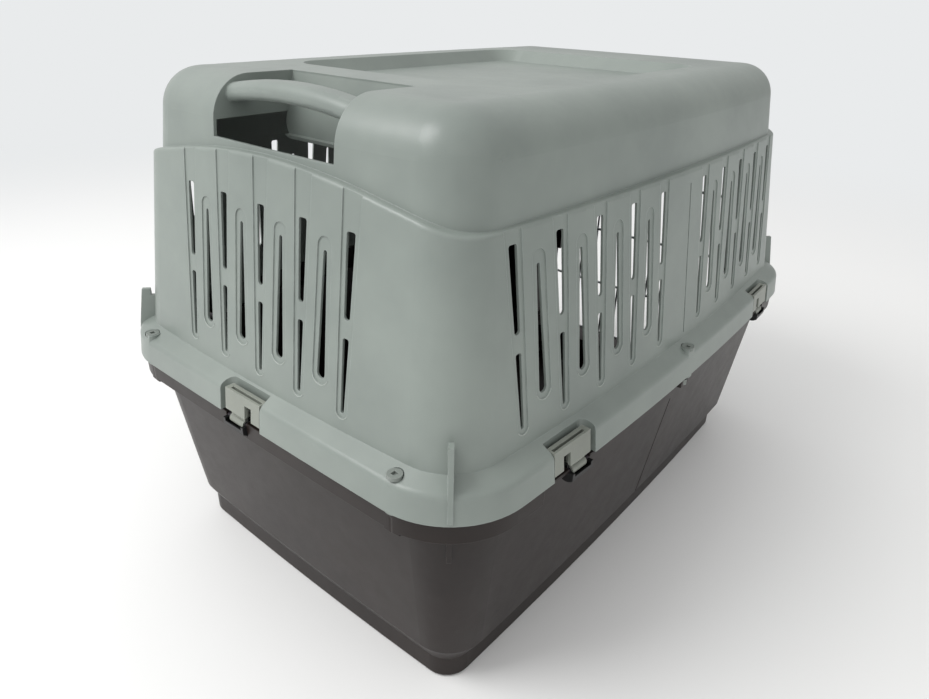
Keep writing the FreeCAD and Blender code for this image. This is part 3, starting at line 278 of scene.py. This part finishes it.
def coilPath():
    low, high = [Vector(corner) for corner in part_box("latch_spring")]
    middle = (low + high) / 2
    wire = latchCoil["wire"] / 1000
    radius = (high.x - low.x) / 2 - wire / 2
    steps = latchCoil["turns"] * latchCoil["stepsPerTurn"]
    path = []
    for step in range(steps + 1):
        turn = 2 * math.pi * step / latchCoil["stepsPerTurn"]
        level = low.z + wire / 2 + (high.z - low.z - wire) * step / steps
        path.append(Vector((middle.x + radius * math.cos(turn), middle.y + radius * math.sin(turn), level)))
    return path


latchCoilPiece = tubeMesh("latchCoil", [coilPath()], latchCoil["wire"] / 2000, 8, springSteel)
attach(latchCoilPiece, "door")
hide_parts("latch_spring")
print("latch coil made")


# the studio: pale floor that fades into an equally pale surround
studio = {
    "floor": "#f2f2f1", "wall": "#e9ebec", "skyDim": 0.22, "skyBright": 1.0, "skyAim": (0.35, 0.45, 0.82),
    "fadeStart": 0.9, "fadeEnd": 2.6, "key": 40, "fill": 1.5,
}


def floorMaterial():
    # painted board near the object; far out the surround's own shade takes over, so no horizon shows
    material, tree = startMaterial("palePaintedFloor")
    board = addNode(tree, "ShaderNodeBsdfPrincipled", Base_Color=toLinear(studio["floor"]), Roughness=0.7)
    surround = addNode(tree, "ShaderNodeEmission", Color=toLinear(studio["wall"]), Strength=1.0)
    place = addNode(tree, "ShaderNodeTexCoord")
    reach = addNode(tree, "ShaderNodeVectorMath", {0: (place, "Object")}, operation="LENGTH")
    fade = addNode(
        tree, "ShaderNodeMapRange", {"Value": (reach, "Value")},
        interpolation_type="SMOOTHSTEP", From_Min=studio["fadeStart"], From_Max=studio["fadeEnd"])
    mix = addNode(tree, "ShaderNodeMixShader", {0: (fade, "Result"), 1: (board, "BSDF"), 2: (surround, "Emission")})
    addNode(tree, "ShaderNodeOutputMaterial", {"Surface": (mix, "Shader")})
    return material


def makeFloor():
    mesh = bpy.data.meshes.new("floor")
    work = bmesh.new()
    bmesh.ops.create_circle(work, cap_ends=True, segments=96, radius=9)
    work.to_mesh(mesh)
    work.free()
    floor = bpy.data.objects.new("floor", mesh)
    floor.location = (0, 0, -0.0005)
    mesh.materials.append(floorMaterial())
    scene.collection.objects.link(floor)


def makeWorld():
    world = bpy.data.worlds.new("world")
    scene.world = world
    world.use_nodes = True
    tree = world.node_tree
    tree.nodes.clear()
    # one broad soft source high up behind the carrier's end, dimmer round the rest
    place = addNode(tree, "ShaderNodeTexCoord")
    toward = addNode(tree, "ShaderNodeVectorMath", {0: (place, "Generated")}, operation="DOT_PRODUCT")
    toward.inputs[1].default_value = studio["skyAim"]
    strength = addNode(
        tree, "ShaderNodeMapRange", {"Value": (toward, "Value")},
        From_Min=-1.0, From_Max=1.0, To_Min=studio["skyDim"], To_Max=studio["skyBright"])
    light = addNode(tree, "ShaderNodeBackground", {"Strength": (strength, "Result")}, Color=(1, 1, 1, 1))
    seen = addNode(tree, "ShaderNodeBackground", Color=toLinear(studio["wall"]), Strength=1.0)
    path = addNode(tree, "ShaderNodeLightPath")
    mix = addNode(
        tree, "ShaderNodeMixShader",
        {0: (path, "Is Camera Ray"), 1: (light, "Background"), 2: (seen, "Background")})
    addNode(tree, "ShaderNodeOutputWorld", {"Surface": (mix, "Shader")})


def softBox(name, place, aim, width, height, power):
    data = bpy.data.lights.new(name, "AREA")
    data.shape = "RECTANGLE"
    data.size = width
    data.size_y = height
    data.energy = power
    lamp = bpy.data.objects.new(name, data)
    lamp.location = place
    lamp.rotation_euler = (Vector(aim) - Vector(place)).to_track_quat("-Z", "Y").to_euler()
    scene.collection.objects.link(lamp)


makeFloor()
makeWorld()
softBox("keyLight", (0.9, 1.6, 2.3), (0, 0, 0.3), 1.3, 1.3, studio["key"])
softBox("fillLight", (-2.2, 0.2, 1.4), (0, 0, 0.3), 1.6, 1.2, studio["fill"])
scene.view_settings.view_transform = "Standard"
print("studio set")
